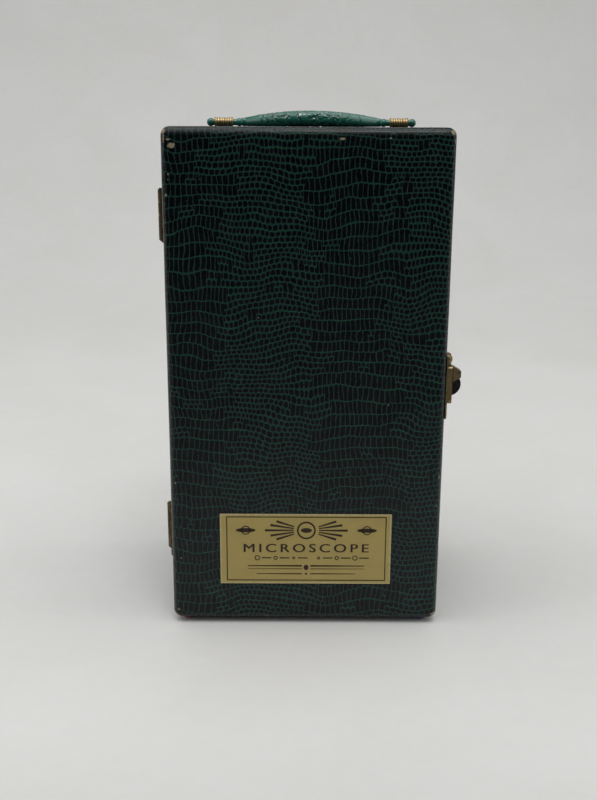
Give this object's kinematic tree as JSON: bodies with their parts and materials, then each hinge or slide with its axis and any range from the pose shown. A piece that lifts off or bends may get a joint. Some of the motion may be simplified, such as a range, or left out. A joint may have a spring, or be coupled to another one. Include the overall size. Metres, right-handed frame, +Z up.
{
  "type": "microscope in its carrying case",
  "caption": "Toy compound microscope held inside an upright covered carrying case with a hinged door, a catch, a carrying handle, a focusing tube, a turret and a tilting mirror.",
  "frame": {"origin": "on the floor, under the middle of the whole object's box, hinge and catch included", "axes": "+Z up along the case's height, the door faces -Y, hinges on the -X side, catch on the +X side"},
  "size_m": [0.1524, 0.1122, 0.2643],
  "materials": {
    "leatherette": "embossed lizard-grain paper, dark green, glossy varnish, worn edges",
    "case_wood": "plain softwood board, unfinished inside",
    "label_paper": "printed gold paper label, varnished",
    "foot_red": "red enamelled tack head",
    "foot_blue": "dark blue enamelled tack head",
    "handle_brass": "rolled sheet brass, bright",
    "handle_plastic": "moulded green plastic with embossed leather grain",
    "aged_brass": "aged brass plate, brown tarnish",
    "catch_brass": "lacquered sheet brass, dull",
    "dark_lacquer": "brown-black lacquered steel",
    "crinkle_enamel": "black crinkle enamel",
    "black_plastic": "black moulded plastic, polished",
    "nickel": "nickel plate, polished",
    "steel_spring": "blued spring steel",
    "gear_brass": "machined brass",
    "lens_glass": "clear ground glass",
    "mirror_silver": "silvered glass"
  },
  "bodies": {
    "case": {"case_top_board": "case_wood", "case_bottom_board": "case_wood", "case_hinge_side_board": "case_wood", "case_latch_side_board": "case_wood", "case_back_panel": "case_wood", "case_covering": "leatherette", "case_feet": "foot_red", "handle_loop_left": "handle_brass", "handle_loop_right": "handle_brass", "upper_hinge_case_leaf": "aged_brass", "lower_hinge_case_leaf": "aged_brass", "hinge_pins": "aged_brass", "hinge_nails_case": "aged_brass", "catch_case_plate": "catch_brass", "catch_hasp_pin": "catch_brass", "catch_rivets_case": "catch_brass", "scope_cleat_left": "case_wood", "scope_cleat_right": "case_wood", "scope_base": "crinkle_enamel", "scope_arm": "crinkle_enamel", "scope_screws": "nickel", "stage_plate": "crinkle_enamel", "clip_studs": "nickel", "pinion_cover": "crinkle_enamel"},
    "door": {"door_panel": "case_wood", "door_top_rail": "case_wood", "door_bottom_rail": "case_wood", "door_hinge_stile": "case_wood", "door_latch_stile": "case_wood", "door_covering": "leatherette", "name_label": "label_paper", "door_foot_left": "foot_red", "door_foot_right": "foot_blue", "upper_hinge_door_leaf": "aged_brass", "lower_hinge_door_leaf": "aged_brass", "hinge_nails_door": "aged_brass", "catch_door_plate": "catch_brass", "catch_rivets_door": "catch_brass"},
    "handle": {"handle_grip": "handle_plastic"},
    "hasp": {"catch_hasp": "dark_lacquer"},
    "button": {"catch_button": "catch_brass"},
    "tube": {"body_tube": "nickel", "focus_rack": "gear_brass", "eyepiece_shell": "black_plastic", "eyepiece_lens": "lens_glass", "nosepiece_seat": "nickel", "turret_screw": "nickel"},
    "pinion": {"focus_pinion": "gear_brass", "focus_knob_left": "black_plastic", "focus_knob_right": "black_plastic"},
    "turret": {"turret_disc": "nickel", "objective_low": "nickel", "objective_medium": "nickel", "objective_high": "nickel", "objective_lenses": "lens_glass"},
    "fork": {"mirror_fork": "nickel"},
    "mirror": {"mirror_ring": "nickel", "mirror_glass": "mirror_silver"},
    "clip_left": {"stage_clip_left": "steel_spring"},
    "clip_right": {"stage_clip_right": "steel_spring"}
  },
  "joints": [
    {"name": "door_hinge", "type": "hinge", "parent": "case", "child": "door", "pos_m": [-0.07445, -0.037, 0], "axis": [0, 0, -1], "range_deg": [0, 180]},
    {"name": "handle_swing", "type": "hinge", "parent": "case", "child": "handle", "pos_m": [-0.00025, 0, 0.2579], "axis": [1, 0, 0], "range_deg": [0, 168]},
    {"name": "hasp_swing", "type": "hinge", "parent": "case", "child": "hasp", "pos_m": [0.0717, -0.029, 0.1294], "axis": [0, 0, 1], "range_deg": [0, 160]},
    {"name": "button_slide", "type": "slide", "parent": "door", "child": "button", "axis": [0, 0, 1], "range_m": [0, 0.0025], "stiffness_N_per_m": 60, "springref_m": -0.002},
    {"name": "focus_slide", "type": "slide", "parent": "case", "child": "tube", "axis": [0, 0, 1], "range_m": [-0.006, 0.009]},
    {"name": "knob_turn", "type": "hinge", "parent": "case", "child": "pinion", "pos_m": [-0.00225, 0.01612, 0.169], "axis": [1, 0, 0], "range_deg": [-110, 75]},
    {"name": "turret_turn", "type": "hinge", "parent": "tube", "child": "turret", "pos_m": [-0.00225, -0.014, 0.115], "axis": [0, 0, 1], "continuous": true},
    {"name": "mirror_swivel", "type": "hinge", "parent": "case", "child": "fork", "pos_m": [-0.00225, -0.002, 0.021], "axis": [0, 0, 1], "continuous": true},
    {"name": "mirror_tilt", "type": "hinge", "parent": "fork", "child": "mirror", "pos_m": [-0.00225, -0.002, 0.047], "axis": [1, 0, 0], "continuous": true},
    {"name": "clip_left_swing", "type": "hinge", "parent": "case", "child": "clip_left", "pos_m": [-0.02325, 0.018, 0.078], "axis": [0, 0, -1], "range_deg": [-15, 40]},
    {"name": "clip_right_swing", "type": "hinge", "parent": "case", "child": "clip_right", "pos_m": [0.01875, 0.018, 0.078], "axis": [0, 0, 1], "range_deg": [-15, 40]}
  ],
  "couplings": [
    {"joint": "knob_turn", "follows": "focus_slide", "rad_per_m": -208.33}
  ]
}
